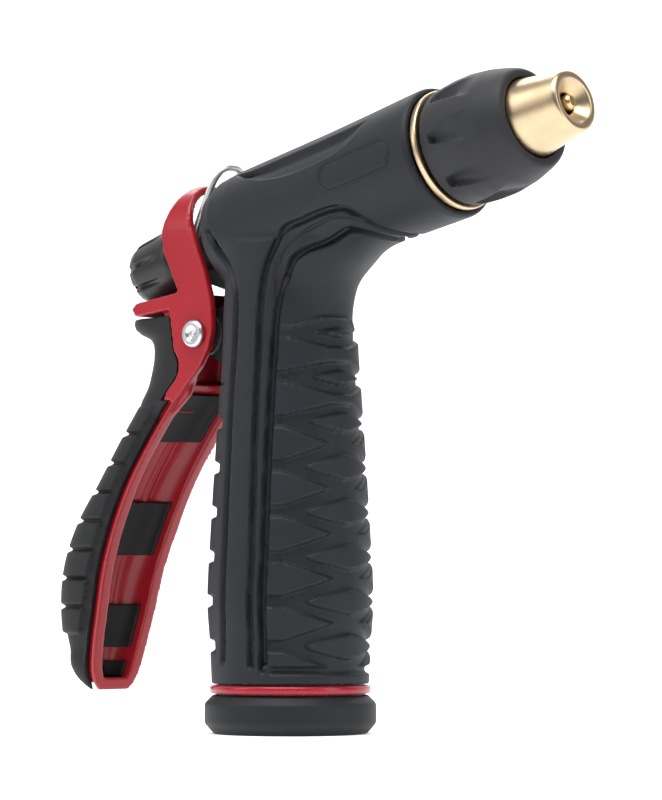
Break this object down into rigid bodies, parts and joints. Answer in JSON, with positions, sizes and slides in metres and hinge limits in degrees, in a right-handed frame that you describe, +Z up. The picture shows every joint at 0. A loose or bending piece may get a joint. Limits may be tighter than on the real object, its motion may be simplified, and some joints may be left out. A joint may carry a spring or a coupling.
{
  "type": "garden hose nozzle",
  "caption": "Pistol-grip garden hose nozzle with a rear squeeze lever, rubber jacket, rear flow adjuster, wire hold-open clip and a twist-adjust brass tip.",
  "frame": {"origin": "on the axis of the hose inlet, in the plane of the base face", "axes": "+X forward, the side that the water leaves from; +Z up along the grip, away from the hose; +Y to the left"},
  "size_m": [0.1523, 0.0384, 0.144],
  "materials": {
    "body_zinc": "zinc alloy die casting with a dark grey coating, satin",
    "jacket_rubber": "matt dark blue-grey moulded rubber",
    "boot_rubber": "matt near-black moulded rubber",
    "ring_plastic": "glossy red moulded plastic",
    "lever_paint": "glossy red powder coat on die-cast metal",
    "pad_rubber": "matt black moulded rubber",
    "knob_plastic": "fluted black plastic",
    "sleeve_rubber": "matt black moulded rubber",
    "seal_rubber": "black nitrile rubber",
    "tip_brass": "turned pale brass, fine lathe marks",
    "inner_brass": "machined brass",
    "rivet_steel": "bright zinc-plated steel",
    "wire_steel": "stainless spring wire"
  },
  "bodies": {
    "body": {"body_casting": "body_zinc", "grip_jacket": "jacket_rubber", "base_boot": "boot_rubber", "base_ring": "ring_plastic", "hose_washer": "seal_rubber", "gland_nut": "inner_brass", "gland_packing": "seal_rubber", "valve_seat": "inner_brass", "return_spring": "wire_steel"},
    "lever": {"lever_shell": "lever_paint", "lever_pad": "pad_rubber", "pivot_rivet": "rivet_steel"},
    "stem": {"valve_stem": "tip_brass", "valve_plug": "seal_rubber", "plug_washer": "inner_brass", "stem_clip": "wire_steel"},
    "knob_carrier": {"thrust_washer": "rivet_steel"},
    "knob": {"adjuster_knob": "knob_plastic", "knob_insert": "inner_brass"},
    "tip_carrier": {"tip_oring": "seal_rubber"},
    "tip": {"tip_nozzle": "tip_brass", "tip_sleeve": "sleeve_rubber"},
    "clip": {"hold_open_clip": "wire_steel"}
  },
  "joints": [
    {"name": "lever_squeeze", "type": "hinge", "parent": "body", "child": "lever", "pos_m": [-0.0193, 0, 0.0897], "axis": [0, -1, 0], "range_deg": [0, 18], "stiffness_Nm_per_rad": 0.5, "springref_deg": -17.19},
    {"name": "stem_slide", "type": "slide", "parent": "body", "child": "stem", "axis": [-0.9703, 0, -0.2419], "range_m": [0, 0.0068], "deforming": ["return_spring"]},
    {"name": "knob_travel", "type": "slide", "parent": "stem", "child": "knob_carrier", "axis": [-0.9703, 0, -0.2419], "range_m": [0, 0.0026]},
    {"name": "knob_turn", "type": "hinge", "parent": "knob_carrier", "child": "knob", "pos_m": [0, 0, 0.1154], "axis": [-0.9703, 0, -0.2419], "range_deg": [0, 720]},
    {"name": "tip_travel", "type": "slide", "parent": "body", "child": "tip_carrier", "axis": [0.9703, 0, 0.2419], "range_m": [0, 0.0031]},
    {"name": "tip_turn", "type": "hinge", "parent": "tip_carrier", "child": "tip", "pos_m": [0, 0, 0.1154], "axis": [0.9703, 0, 0.2419], "range_deg": [0, 540]},
    {"name": "clip_swing", "type": "hinge", "parent": "body", "child": "clip", "pos_m": [-0.02416, 0, 0.11061], "axis": [0, -1, 0], "range_deg": [0, 3]}
  ],
  "couplings": [
    {"joint": "stem_slide", "follows": "lever_squeeze", "m_per_rad": 0.0215},
    {"joint": "knob_travel", "follows": "knob_turn", "m_per_rad": 0.00019894},
    {"joint": "tip_travel", "follows": "tip_turn", "m_per_rad": 0.00031831}
  ]
}
